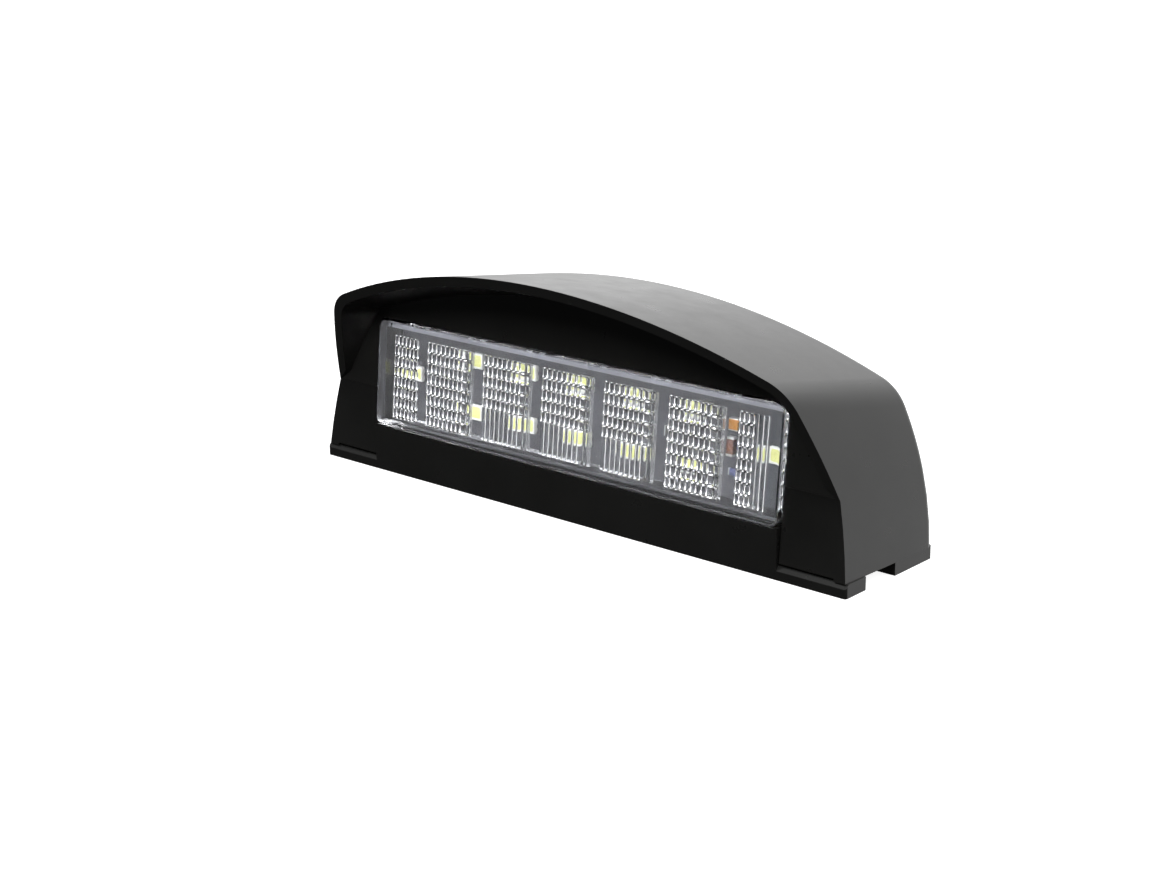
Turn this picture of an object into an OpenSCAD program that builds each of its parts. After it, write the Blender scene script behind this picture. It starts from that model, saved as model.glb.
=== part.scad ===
// Number plate lamp: a hooded light unit that stands on a flat foot.
// X runs along the lamp, -Y is the lit front and Z is up from the foot's underside.
// The foot's middle is the origin.

/* [Foot] */
// Length of the foot, end to end
lamp_l = 130; // [122:1:150]
// Depth of the foot, front to rear
foot_d = 26.4; // [25:0.2:32]
// Thickness of the foot
foot_h = 2.5; // [2:0.1:4]
// Radius of the foot's upright corners
foot_r = 0.5; // [0.2:0.1:2]
// Chamfer along the foot's upper front edge
foot_chamfer = 0.8; // [0.2:0.1:1.4]
// Width of the prying notch in each end of the foot
notch_w = 8.9; // [5:0.1:12]
// Depth of the prying notch
notch_d = 4; // [2:0.1:5]
// Distance of the notch's middle in front of the foot's middle
notch_front = 2.85; // [0:0.05:5]
// Thickness of the upright panel under the lens
lower_panel_t = 2; // [1.2:0.1:2.6]

/* [Fixing and cable inlet] */
// Distance of a fixing hole from the end of the foot
fixing_end_in = 20; // [17:0.5:30]
// Radius of a fixing hole
fixing_r = 2.6; // [2:0.1:3.2]
// Radius of the boss round a fixing hole
boss_r = 4.6; // [4:0.1:5]
// Height of the boss over the foot
boss_h = 2; // [0.5:0.1:4]
// Distance of the fixing holes and the cable hole from the foot's rear
hole_rear_in = 7.6; // [7:0.1:8.2]
// Radius of the cable hole in the foot
inlet_r = 4; // [3.2:0.1:4.4]
// Radius of the cable's way through the grommet
cable_r = 2.5; // [1.5:0.1:2.8]
// How far the grommet's lips reach past the cable hole
grommet_lip = 1; // [0.6:0.1:1.2]
// Thickness of the grommet's lips
grommet_lip_h = 1; // [0.6:0.1:1.2]

/* [Hood] */
// Height of the hood's rim at its middle
hood_h = 46.8; // [45:0.2:56]
// How much lower the hood is at its rear than at its rim
hood_fall = 5.1; // [2:0.1:8]
// Wall of the hood
hood_wall = 2; // [1.6:0.1:2.4]
// Height of the line where the front breaks from the panel into the rim
kink_z = 16.4; // [10:0.2:22]
// Distance of that line behind the foot's front face
kink_back = 1.8; // [1.2:0.1:2.4]
// Backward lean of the front panel
panel_lean = 6; // [3:0.5:8]
// Forward lean of the rim over the front panel
rim_lean = 18.9; // [10:0.1:24]
// Width of the rim at its lower ends
rim_end_w = 0.3; // [0.2:0.05:0.6]
// Thickness of the front panel
panel_t = 2; // [1.4:0.1:2.2]
// Drop from the top of the arch to the upper ends of the sides
side_drop = 14.9; // [14:0.1:18]
// Drop of the arch itself over the same width
crown_drop = 11.9; // [9:0.1:12.5]
// Radius of the shoulders
shoulder_r = 9; // [6:0.5:11]
// How far the upper ends of the sides come in at the front
side_in = 7.4; // [6:0.1:9]
// How far they come in at the rear
rear_side_in = 5.7; // [4.5:0.1:7]
// How far the hood's lower front corners stand in from the foot's ends
front_inset = 0.4; // [0:0.1:0.8]
// Bulge of the sides at the front
side_bulge = 1.1; // [0.4:0.1:1.4]
// Bulge of the sides at the rear
rear_side_bulge = 1.4; // [0.6:0.1:1.8]
// How far the hood's rear corners stand out over the foot
rear_flare = 0.4; // [0:0.1:0.8]
// Draft of the pocket's side walls behind the rim
pocket_side_draft = 25; // [4:1:28]
// Draft of the pocket's ceiling behind the rim
pocket_top_draft = 17; // [9:1:20]
// Gap between the front panel's lower edge and the foot
panel_relief = 0.5; // [0.2:0.1:1]
// Radius of the edge round the hood's rear wall
rear_edge_r = 2; // [0.8:0.1:2.2]

/* [Lens] */
// Distance of the lens's ends from the foot's ends
lens_end_in = 14.6; // [14:0.1:19]
// Height of the lens
lens_h = 21.6; // [18:0.1:22]
// Height of the lens's lower front edge
lens_z = 9.4; // [8.4:0.1:10.4]
// How far the lens stands proud of the front panel
lens_proud = 1; // [0.2:0.1:1.1]
// Thickness of the lens's front
lens_face = 2; // [1.6:0.1:2.6]
// Thickness of the lens's side walls
lens_wall = 1.5; // [1:0.1:2]
// Radius of the lens's outer edges
lens_r = 1.2; // [0.6:0.1:2]
// Distance from the lens's front to the circuit board
lens_d = 7.6; // [6:0.1:8]
// Distance from the lens's ends to the middles of the outermost full fields
field_end_in = 19.8; // [19:0.1:21]
// Clear gap between two full fields
field_gap = 2.5; // [2:0.1:4]
// Width of a flute in the two end fields
end_flute_w = 1.3; // [1.1:0.05:1.4]
// Gap before the right-hand end field
end_gap = 2; // [1.5:0.1:3]
// Height of the flutes over the lens's inner face
flute_rise = 0.4; // [0.2:0.05:0.5]
// Clear band under the optic fields
field_low = 2.1; // [1.8:0.1:3]
// Clear band over the optic fields
field_high = 2.9; // [1.8:0.1:4]
// Width of the nibs along the lens's upper edge
nib_w = 1.5; // [0.8:0.1:2]
// Distance between the two nibs of a pair
nib_pitch = 3.2; // [2.4:0.1:5]
// How far behind the lens's front the nibs start
nib_back = 0.3; // [0.1:0.05:0.5]

/* [Light unit] */
// Wall of the tray that holds the board and the lens
tray_wall = 1.3; // [1:0.1:1.6]
// Thickness of the circuit board
board_t = 1.6; // [1:0.1:2]
// Height of the pads under the board
pad_h = 0.6; // [0.4:0.1:1.2]
// Radius of the pads under the board
pad_r = 2; // [1:0.1:3]
// Distance from the lens's ends to the outermost pads
pad_end_in = 8.4; // [6:0.2:20]
// Distance between the two rows of pads
pad_row_pitch = 10.8; // [8:0.1:12]
// Thickness of the ribs between the foot and the tray
rib_t = 1.6; // [1:0.1:2]
// Distance of the outermost ribs from the ends of the lens
rib_end_in = 4.6; // [3:0.1:10]
// Width of a light-emitting diode
led_w = 3.5; // [2.4:0.1:5]
// Height of a light-emitting diode
led_h = 2.9; // [2:0.1:4]
// Thickness of a light-emitting diode
led_t = 0.8; // [0.5:0.1:1.4]
// Distance from the lens's ends to the outermost columns of two light-emitting diodes
led_column_in = 22.4; // [21:0.1:25]
// Distance between the upper and the lower row
led_row_pitch = 9.9; // [8:0.1:12]
// Distance from the lens's ends to the single light-emitting diodes at the ends
led_end_in = 5.9; // [5.4:0.1:7]

/* [Latches] */
// Width of a latch tongue
tongue_w = 7; // [4:0.1:9]
// Thickness of a latch tongue
tongue_t = 1.6; // [1:0.1:2]
// Height of the latch's catch over the foot's top
catch_z = 6.2; // [4:0.1:8]
// Height of the catch ridge on the hood
catch_h = 1.4; // [1:0.1:2]
// How far the catch ridge stands in from the hood's wall
catch_in = 0.9; // [0.7:0.1:1.2]
// How far a tongue's hook reaches over the catch ridge
catch_grip = 0.45; // [0.3:0.05:0.6]
// Height of the sloping tip over a tongue's hook
tip_h = 1.8; // [1:0.1:3]

/* [Hidden] */
$fn = 48;
// Clearances: round the lens, round the tray's contents, round the board, behind the front
// panel, at the latches and between the panel's relief and the hood's sides
lens_gap = 0.25;
tray_gap = 0.1;
board_gap = 0.2;
panel_gap = 0.2;
latch_gap = 0.15;
relief_gap = 0.4;
// Reach of cutting solids past the faces that they cut
cut = 4;
// Steps round half a section: lower side, upper side, shoulder, half the arch
section_steps = [3, 6, 8, 18];
// Steps from front to rear, round the rear edge and into the pocket
side_steps = 3;
rear_steps = 4;
pocket_steps = 5;
// Full fields of the lens, each with a column of light-emitting diodes behind it
full_fields = 5;
outer_field = (full_fields - 1) / 2;
// Flutes of a full field from its left end, and of the two end fields
narrow_flutes = 8;
wide_flutes = 2;
wide_ratio = 4 / 3;
left_end_flutes = 6;
right_end_flutes = 5;
rib_count = 6;
pad_columns = 5;
// Small parts: width, height and thickness
capacitor_size = [2, 2.2, 1.2];
diode_size = [1.5, 3.4, 1];
resistor_1_size = [1, 2, 0.5];
resistor_2_size = [2, 1.2, 0.5];
regulator_size = [3, 1.8, 1.1];

foot_front = -foot_d / 2;
foot_rear = foot_d / 2;
kink_y = foot_front + kink_back;
end_x = lamp_l / 2;
lens_w = lamp_l - 2 * lens_end_in;
latch_y = -notch_front;
hole_y = foot_rear - hole_rear_in;
catch_low = foot_h + catch_z;

// Front faces of the hood: the panel leans back below the kink and the rim leans forward above it
function panel_y(z) = kink_y + (z - kink_z) * tan(panel_lean);
function front_y(z) = z < kink_z ? panel_y(z) : kink_y - (z - kink_z) * tan(rim_lean);

// Depths of the light unit, from the lens's front
panel_back = lens_proud + panel_t;
tray_front = panel_back + panel_gap;
tray_floor = lens_d + board_t + pad_h;
tray_back = tray_floor + tray_wall;

// Circle through two points with a given bulge to the right of the way from p to q: [x, z, radius]
function bulged(p, q, bulge) =
    let (
        chord = norm(q - p),
        way = (q - p) / chord,
        r = (chord * chord / 4 + bulge * bulge) / (2 * bulge),
        centre = (p + q) / 2 - [way.y, -way.x] * (r - bulge)
    )
    [centre.x, centre.y, r];

// Right-hand meeting point of two circles
function meeting(a, ra, b, rb) =
    let (
        gap = norm(b - a),
        along = (ra * ra - rb * rb + gap * gap) / (2 * gap),
        across = sqrt(ra * ra - along * along),
        way = (b - a) / gap,
        foot = a + way * along,
        one = foot + [-way.y, way.x] * across,
        two = foot - [-way.y, way.x] * across
    )
    one.x > two.x ? one : two;

// Circles of one section: the side, the arch and the shoulder between them, each [x, z, radius]
function section_circles(low_x, high_x, top, bulge) =
    let (
        side = bulged([low_x, foot_h], [high_x, top - side_drop], bulge),
        arch_r = (high_x * high_x + crown_drop * crown_drop) / (2 * crown_drop),
        arch = [0, top - arch_r, arch_r],
        mid = meeting([side.x, side.y], side.z - shoulder_r, [0, arch.y], arch_r - shoulder_r)
    )
    [side, arch, [mid.x, mid.y, shoulder_r]];

front_circles = section_circles(
    end_x - front_inset, end_x - front_inset - side_in, hood_h, side_bulge
);
rear_circles = section_circles(
    end_x + rear_flare, end_x + rear_flare - rear_side_in, hood_h - hood_fall, rear_side_bulge
);

// Point of a circle of a section: [x, z, outward x, outward z]
function arc_point(circle, a, inset) =
    [circle.x + (circle.z - inset) * cos(a), circle.y + (circle.z - inset) * sin(a), cos(a), sin(a)];

function side_point(circles, z, inset) =
    arc_point(circles[0], asin((z - circles[0].y) / (circles[0].z - inset)), inset);

// Upper part of a section's right half, from above the kink to the middle of the arch
function upper_half(circles, inset) =
    let (
        side = circles[0],
        arch = circles[1],
        shoulder = circles[2],
        from = atan2(shoulder.y - side.y, shoulder.x - side.x),
        to = atan2(shoulder.y - arch.y, shoulder.x),
        side_top = side.y + (side.z - inset) * sin(from),
        n = section_steps
    )
    [
        for (i = [1:n[1]]) side_point(circles, kink_z + (side_top - kink_z) * i / n[1], inset),
        for (i = [1:n[2]]) arc_point(shoulder, from + (to - from) * i / n[2], inset),
        for (i = [1:n[3]]) arc_point(arch, to + (90 - to) * i / n[3], inset)
    ];

// Right half of a section, from its lower end
function half_section(circles, inset, low_z) =
    let (n = section_steps[0])
    [
        for (i = [0:n]) side_point(circles, low_z + (kink_z - low_z) * i / n, inset),
        each upper_half(circles, inset)
    ];

// Whole section: the right half, then its mirror image back down to the left lower end
function whole_section(half) =
    [each half, for (i = [len(half) - 2:-1:0]) [-half[i].x, half[i].y, -half[i][2], half[i][3]]];

function front_section(inset, low_z) =
    [for (p = whole_section(half_section(front_circles, inset, low_z))) [p.x, front_y(p.y), p.y]];

function rear_section(inset, low_z, y) =
    [for (p = whole_section(half_section(rear_circles, inset, low_z))) [p.x, y, p.y]];

function between(a, b, share) = [for (i = [0:len(a) - 1]) a[i] + (b[i] - a[i]) * share];

// Solid through a list of closed sections, with the first one's end given as a list of faces
module loft(sections, front_faces) {
    n = len(sections[0]);
    last = len(sections) - 1;
    polyhedron(
        [for (s = sections) each s],
        [
            for (k = [0:last - 1], i = [0:n - 1])
                let (j = (i + 1) % n)
                each [
                    [k * n + i, k * n + j, (k + 1) * n + i],
                    [k * n + j, (k + 1) * n + j, (k + 1) * n + i]
                ],
            each front_faces,
            [for (i = [0:n - 1]) last * n + i]
        ],
        convexity = 6
    );
}

// Front end of a section that is broken in two at the kink
function broken_front(n) =
    let (kink = section_steps[0])
    [
        [for (i = [n - 1 - kink:-1:kink]) i],
        [for (i = [n - 1:-1:n - 1 - kink]) i, for (i = [kink:-1:0]) i]
    ];

module hood_outside() {
    front = front_section(0, foot_h);
    rear = rear_section(0, foot_h, foot_rear - rear_edge_r);
    sections = [
        for (k = [0:side_steps - 1]) between(front, rear, k / side_steps),
        for (i = [0:rear_steps])
            let (a = 90 * i / rear_steps, y = foot_rear - rear_edge_r * (1 - sin(a)))
            rear_section(rear_edge_r * (1 - cos(a)), foot_h, y)
    ];
    loft(sections, broken_front(len(front)));
}

// Space inside the hood, open below. It starts a fifth of the hood's depth ahead of the front.
module hood_inside() {
    front = front_section(hood_wall, foot_h - cut);
    rear = rear_section(hood_wall, foot_h - cut, foot_rear - hood_wall);
    loft([between(front, rear, -1 / 5), rear], broken_front(len(front)));
}

// Point of the pocket's wall that starts at p on the rim, a share of the way to the panel
function drafted(p, share) =
    let (
        in_x = p[2] * tan(pocket_side_draft),
        in_z = p[3] * tan(pocket_top_draft),
        depth = (panel_y(p.y) - front_y(p.y)) / (1 + in_z * tan(panel_lean)),
        run = share * depth
    )
    [p.x - in_x * run, front_y(p.y) + run, p.y - in_z * run];

// Pocket between the rim and the front panel. Its lower ends run out to the hood's sides, and
// the rim cuts the first step of its walls in half.
module pocket() {
    lower_end = side_point(front_circles, kink_z + rim_end_w, rim_end_w);
    rim = whole_section([lower_end, each upper_half(front_circles, hood_wall)]);
    walls = [
        for (k = [0:pocket_steps]) [for (p = rim) drafted(p, (2 * k - 1) / (2 * pocket_steps - 1))]
    ];
    ahead = [for (p = walls[0]) p - [0, cut, 0]];
    loft([ahead, each walls], [[for (i = [len(rim) - 1:-1:0]) i]]);
}

// Frame of the light unit: its y = 0 is the lens's front and its z = 0 is the lens's lower face
module in_unit() {
    translate([0, panel_y(lens_z) - lens_proud, lens_z]) rotate([-panel_lean, 0, 0]) children();
}

// Rectangle with rounded corners, from the origin to the right and up
module rounded(w, h, r) {
    translate([r, 0]) square([w - 2 * r, h]);
    translate([0, r]) square([w, h - 2 * r]);
    for (x = [r, w - r], y = [r, h - r])
        translate([x, y]) circle(r);
}

// Upright rounded rectangle in the unit's frame, from y to y + depth
module unit_block(w, low, high, y, depth, r) {
    translate([-w / 2, y + depth, low]) rotate([90, 0, 0]) linear_extrude(depth)
        rounded(w, high - low, r);
}

// Opening for the lens and the base's lower panel, open below
module window() {
    in_unit()
        unit_block(lens_w + 2 * lens_gap, -2 * lens_z, lens_h + lens_gap, -cut, 3 * cut, lens_r);
}

// Front panel and all that lies before it
module panel_and_front() {
    in_unit() translate([-lamp_l, panel_back - lamp_l, -lamp_l])
        cube([2 * lamp_l, lamp_l, 3 * lamp_l]);
}

// X of the hood's inner wall at a height and depth
function wall_x(z, y) =
    let (
        front = side_point(front_circles, z, hood_wall).x,
        rear = side_point(rear_circles, z, hood_wall).x,
        share = (y - front_y(z)) / (foot_rear - rear_edge_r - front_y(z))
    )
    front + (rear - front) * share;

catch_x = wall_x(catch_low, latch_y) - catch_in;

// Catch ridges of the latches, with their outer sides in the hood's walls
module catch_ridges() {
    for (side = [-1, 1])
        translate([side * (catch_x + cut / 2), latch_y, catch_low + catch_h / 2])
            cube([cut, tongue_w, catch_h], center = true);
}

module hood() {
    relief_x = side_point(front_circles, foot_h, hood_wall).x - relief_gap;
    color([0.11, 0.11, 0.11]) difference() {
        hood_outside();
        pocket();
        difference() {
            hood_inside();
            panel_and_front();
            catch_ridges();
        }
        window();
        // Relief under the front panel, between the side walls
        translate([-relief_x, foot_front - cut, foot_h - cut])
            cube([2 * relief_x, kink_back + panel_t + 2 * cut, cut + panel_relief]);
    }
}

module foot() {
    chamfer_side = foot_chamfer * sqrt(2);
    difference() {
        translate([-end_x, foot_front, 0]) linear_extrude(foot_h) rounded(lamp_l, foot_d, foot_r);
        // Prying notches
        for (side = [-1, 1])
            translate([side * end_x, latch_y, foot_h / 2])
                cube([2 * notch_d, notch_w, foot_h + cut], center = true);
        // Chamfer along the upper front edge
        translate([0, foot_front, foot_h]) rotate([45, 0, 0])
            cube([lamp_l + cut, chamfer_side, chamfer_side], center = true);
    }
}

module tray_outside() {
    w = lens_w + 2 * tray_gap + 2 * tray_wall;
    low = -tray_gap - tray_wall;
    high = lens_h + tray_gap + tray_wall;
    in_unit() {
        unit_block(w, low, high, tray_front, tray_back - tray_front, lens_r + tray_wall);
        // Sill between the lower panel and the tray, as long as the lens's straight lower edge
        translate([lens_r - lens_w / 2, lens_proud, low])
            cube([lens_w - 2 * lens_r, tray_front + tray_wall - lens_proud, tray_wall]);
    }
}

module tray_inside() {
    in_unit() unit_block(
        lens_w + 2 * tray_gap, -tray_gap, lens_h + tray_gap, -cut, tray_floor + cut, lens_r
    );
}

// Pads that carry the board off the tray's floor
module pads() {
    last = (pad_columns - 1) / 2;
    pad_pitch = (lens_w / 2 - pad_end_in) / last;
    in_unit() for (i = [-last:last], row = [-1, 1])
        translate([i * pad_pitch, lens_d + board_t, (lens_h + row * pad_row_pitch) / 2])
            rotate([-90, 0, 0]) cylinder(r = pad_r, h = pad_h + tray_wall / 2);
}

// Ribs that carry the tray on the foot and the lower panel
module ribs() {
    rib_front = foot_front + lower_panel_t / 2;
    rib_rear = panel_y(lens_z) - lens_proud + tray_floor;
    rib_top = lens_z - tray_gap - tray_wall / 2 - tray_back * sin(panel_lean);
    rib_pitch = (lens_w - 2 * rib_end_in) / (rib_count - 1);
    for (i = [0:rib_count - 1])
        translate([rib_end_in - lens_w / 2 + i * rib_pitch - rib_t / 2, rib_front, foot_h / 2])
            cube([rib_t, rib_rear - rib_front, rib_top - foot_h / 2]);
}

// Springy tongues that hook over the hood's catch ridges
module tongues() {
    tongue_x = catch_x - latch_gap;
    reach = catch_grip + latch_gap;
    hook_z = catch_low + catch_h + latch_gap;
    for (side = [0, 1])
        mirror([side, 0, 0])
            translate([tongue_x, latch_y + tongue_w / 2, 0])
                rotate([90, 0, 0])
                    linear_extrude(tongue_w)
                        polygon([
                            [-tongue_t, foot_h / 2],
                            [0, foot_h / 2],
                            [0, hook_z],
                            [reach, hook_z],
                            [0, hook_z + tip_h],
                            [-tongue_t, hook_z + tip_h]
                        ]);
}

// Round posts or holes at the two fixing places, from a height upwards
module fixings(r, z, h) {
    for (side = [-1, 1])
        translate([side * (end_x - fixing_end_in), hole_y, z]) cylinder(r = r, h = h);
}

module base() {
    color([0.13, 0.13, 0.13]) difference() {
        union() {
            difference() {
                union() {
                    foot();
                    translate([-lens_w / 2, foot_front, 0]) cube([lens_w, lower_panel_t, lens_z]);
                    tray_outside();
                    ribs();
                }
                tray_inside();
            }
            pads();
            tongues();
            fixings(boss_r, 0, foot_h + boss_h);
        }
        fixings(fixing_r, -cut, foot_h + boss_h + 2 * cut);
        translate([0, hole_y, -cut]) {
            cylinder(r = inlet_r, h = foot_h + 2 * cut);
            // Recess for the grommet's lower lip
            cylinder(r = inlet_r + grommet_lip + tray_gap, h = grommet_lip_h + cut);
        }
    }
}

module cable_grommet() {
    lip_w = inlet_r + grommet_lip - cable_r;
    color([0.05, 0.05, 0.05]) translate([0, hole_y, 0]) rotate_extrude() {
        translate([cable_r, 0]) square([inlet_r - cable_r, foot_h + grommet_lip_h]);
        for (z = [0, foot_h])
            translate([cable_r, z]) square([lip_w, grommet_lip_h]);
    }
}

field_pitch = (lens_w / 2 - field_end_in) / outer_field;
field_w = field_pitch - field_gap;
flute_w = field_w / (narrow_flutes + wide_flutes * wide_ratio);
flute_widths = [
    for (i = [1:narrow_flutes]) flute_w,
    for (i = [1:wide_flutes]) flute_w * wide_ratio
];

// Sum of the first n values of a list
function sum_to(list, n) = n == 0 ? 0 : list[n - 1] + sum_to(list, n - 1);

// One flute on the lens's inner face, with its left edge at x
module flute(x, w) {
    r = (w * w / 4 + flute_rise * flute_rise) / (2 * flute_rise);
    translate([x + w / 2, lens_face + flute_rise - r, field_low])
        cylinder(r = r, h = lens_h - field_low - field_high);
}

// Field number i, counted from the middle
module optic_field(i) {
    for (k = [0:len(flute_widths) - 1])
        flute(i * field_pitch - field_w / 2 + sum_to(flute_widths, k), flute_widths[k]);
}

// The left end field starts at the lens's wall, the right one beside its neighbour
module end_fields() {
    for (k = [0:left_end_flutes - 1])
        flute(lens_wall - lens_w / 2 + k * end_flute_w, end_flute_w);
    for (k = [0:right_end_flutes - 1])
        flute(outer_field * field_pitch + field_w / 2 + end_gap + k * end_flute_w, end_flute_w);
}

// Cap with rounded front edges and corners
module lens_outside() {
    x = lens_w / 2 - lens_r;
    hull() {
        for (side = [-x, x], z = [lens_r, lens_h - lens_r]) {
            translate([side, lens_r, z]) sphere(lens_r, $fn = 32);
            translate([side, lens_d, z]) rotate([90, 0, 0]) cylinder(r = lens_r, h = 1, $fn = 32);
        }
    }
}

// Nibs on the lens's upper front edge, two at each clear gap between the fields
module nibs() {
    last = full_fields / 2;
    for (gap = [-last:last], side = [-1, 1])
        translate([gap * field_pitch + (side * nib_pitch - nib_w) / 2, nib_back, lens_h - lens_r])
            cube([nib_w, lens_r, lens_r]);
}

module lens() {
    inner_w = lens_w - 2 * lens_wall;
    color([0.85, 0.9, 0.95, 0.6]) in_unit() {
        difference() {
            lens_outside();
            unit_block(inner_w, lens_wall, lens_h - lens_wall, lens_face, lens_d, lens_r / 2);
        }
        for (i = [-outer_field:outer_field])
            optic_field(i);
        end_fields();
        nibs();
    }
}

module circuit_board() {
    color([0.85, 0.86, 0.88]) in_unit() unit_block(
        lens_w - 2 * board_gap, board_gap, lens_h - board_gap, lens_d, board_t, lens_r
    );
}

// Flat electronic part on the board, with its middle at x and z from the board's middle
module on_board(x, z, size) {
    in_unit() translate([x - size[0] / 2, lens_d - size[2], (lens_h - size[1]) / 2 + z])
        cube([size[0], size[2], size[1]]);
}

// Places of the light-emitting diodes as [x, z], from left to right and top to bottom
led_end_x = lens_w / 2 - led_end_in;
led_pitch = (lens_w / 2 - led_column_in) / outer_field;
led_places = [
    [-led_end_x, 0],
    for (i = [-outer_field:outer_field], row = [1, -1]) [i * led_pitch, row * led_row_pitch / 2],
    [led_end_x, 0]
];

module led(n) {
    p = led_places[n - 1];
    color([0.95, 0.85, 0.45]) on_board(p.x, p.y, [led_w, led_h, led_t]);
}

// Column of small parts between the last two columns of light-emitting diodes
parts_x = (outer_field + 1 / 2) * led_pitch;

module capacitor() {
    color([0.85, 0.55, 0.2]) on_board(parts_x, 3.8, capacitor_size);
}

module diode() {
    color([0.25, 0.15, 0.12]) on_board(parts_x - 0.6, -0.2, diode_size);
}

module resistor_1() {
    color([0.3, 0.33, 0.45]) on_board(parts_x + 1, 0.1, resistor_1_size);
}

module resistor_2() {
    color([0.3, 0.33, 0.45]) on_board(parts_x, -4.6, resistor_2_size);
}

module regulator() {
    color([0.12, 0.12, 0.12]) on_board((outer_field - 1 / 2) * led_pitch, 0, regulator_size);
}

hood();
base();
lens();
circuit_board();
led(1);  // led_01
led(2);  // led_02
led(3);  // led_03
led(4);  // led_04
led(5);  // led_05
led(6);  // led_06
led(7);  // led_07
led(8);  // led_08
led(9);  // led_09
led(10);  // led_10
led(11);  // led_11
led(12);  // led_12
capacitor();
diode();
resistor_1();
resistor_2();
regulator();
cable_grommet();
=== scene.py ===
"""Number plate lamp: finished pieces round the fixed frame, and the stage that shows them."""

import math

import bmesh
import bpy
from bpy.props import FloatProperty, FloatVectorProperty, IntProperty, PointerProperty
from mathutils import Matrix, Vector


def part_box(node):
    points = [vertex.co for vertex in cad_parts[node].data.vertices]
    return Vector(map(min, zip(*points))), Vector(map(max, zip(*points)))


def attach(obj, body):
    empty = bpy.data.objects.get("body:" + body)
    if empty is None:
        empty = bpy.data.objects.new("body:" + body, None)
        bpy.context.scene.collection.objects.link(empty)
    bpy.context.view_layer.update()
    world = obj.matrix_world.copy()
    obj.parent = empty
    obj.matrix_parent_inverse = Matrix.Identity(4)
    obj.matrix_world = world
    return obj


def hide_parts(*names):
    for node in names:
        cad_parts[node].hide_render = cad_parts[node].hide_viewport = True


bl_info = {
    "name": "Number plate lamp",
    "version": (1, 0, 0),
    "blender": (4, 5, 0),
    "location": "View3D > Sidebar > Lamp",
    "description": "Hood, base, fluted lens and light unit of a number plate lamp",
    "category": "Object",
}

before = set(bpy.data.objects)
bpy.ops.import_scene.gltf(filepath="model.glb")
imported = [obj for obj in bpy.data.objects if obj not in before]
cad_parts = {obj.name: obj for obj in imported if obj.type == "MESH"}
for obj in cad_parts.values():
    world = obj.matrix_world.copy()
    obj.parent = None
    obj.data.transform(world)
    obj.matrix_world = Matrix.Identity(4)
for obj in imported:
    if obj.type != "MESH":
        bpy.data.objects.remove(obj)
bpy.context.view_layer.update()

MM = 0.001
# Two places nearer than this are one
NEAR = 0.01 * MM

# Cleaning of a node's triangles, before its edges are rounded
WELD = 0.002 * MM
FLAT_ANGLE = math.radians(0.4)
QUAD_ANGLE = math.radians(12)
QUAD_SHAPE = math.radians(60)
# Edges that turn more than this, in degrees, are rounded
SHARP_TURN = 32

# The five full fields of the lens and the five columns of diodes, counted from the middle
FIVE = range(-2, 3)
# Facets round each shoulder of a flute or a row
SHOULDER_STEPS = 4
# Flutes in a full field before its wide one, fine ones after it, and flutes in an end field
NARROW_FLUTES = 8
FINE_FLUTES = 3
END_FLUTES = 6
# Flutes at the right of the last field that no row crosses, and rows that are missing from the
# lower part of the three middle fields
PLAIN_FLUTES = 3
PLAIN_ROWS = 3

# Nibs on the lens's upper front edge, two over each gap between two fields
GAPS = 6
NIB_FRONT = 0.1 * MM
NIB_BACK = 0.7 * MM
NIB_OVER = 0.05 * MM
NIB_EDGE = 0.15 * MM
# A face is frosted when it lies this far inside a nib's sides and over its foot
NIB_SIDE = 0.1 * MM
NIB_FOOT = 0.2 * MM

# Radius of the edges of the diodes' and the small parts' bodies
CHIP_EDGE = 0.08 * MM
# Half the width over which one colour of the board changes to the next
SOFT_BORDER = 0.1 * MM


def span(node, axis):
    """Size of a node's box along an axis."""
    low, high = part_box(node)
    return high[axis] - low[axis]


def length(name, description, millimetres, low=0.01, high=500):
    """Length that is shown in metres and given here in millimetres."""
    return FloatProperty(
        name=name,
        description=description,
        default=millimetres * MM,
        min=low * MM,
        max=high * MM,
        precision=5,
        subtype="DISTANCE",
        unit="LENGTH",
    )


def angle(name, description, degrees):
    """Angle that is given here in degrees."""
    return FloatProperty(
        name=name,
        description=description,
        default=math.radians(degrees),
        subtype="ANGLE",
        unit="ROTATION",
    )


def colour(name, description, value):
    return FloatVectorProperty(
        name=name,
        description=description,
        default=value,
        size=3,
        min=0,
        max=1,
        subtype="COLOR",
    )


def amount(name, description, value, high=100):
    return FloatProperty(name=name, description=description, default=value, min=0, max=high)


class LampMoulding(bpy.types.PropertyGroup):
    """Edges of the black mouldings and the grommet."""

    hood_edge: length("Hood edge", "Radius of the hood's edges", 0.35)
    base_edge: length("Base edge", "Radius of the base's edges", 0.25)
    grommet_edge: length("Grommet edge", "Radius of the grommet's lips", 0.35)


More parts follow.
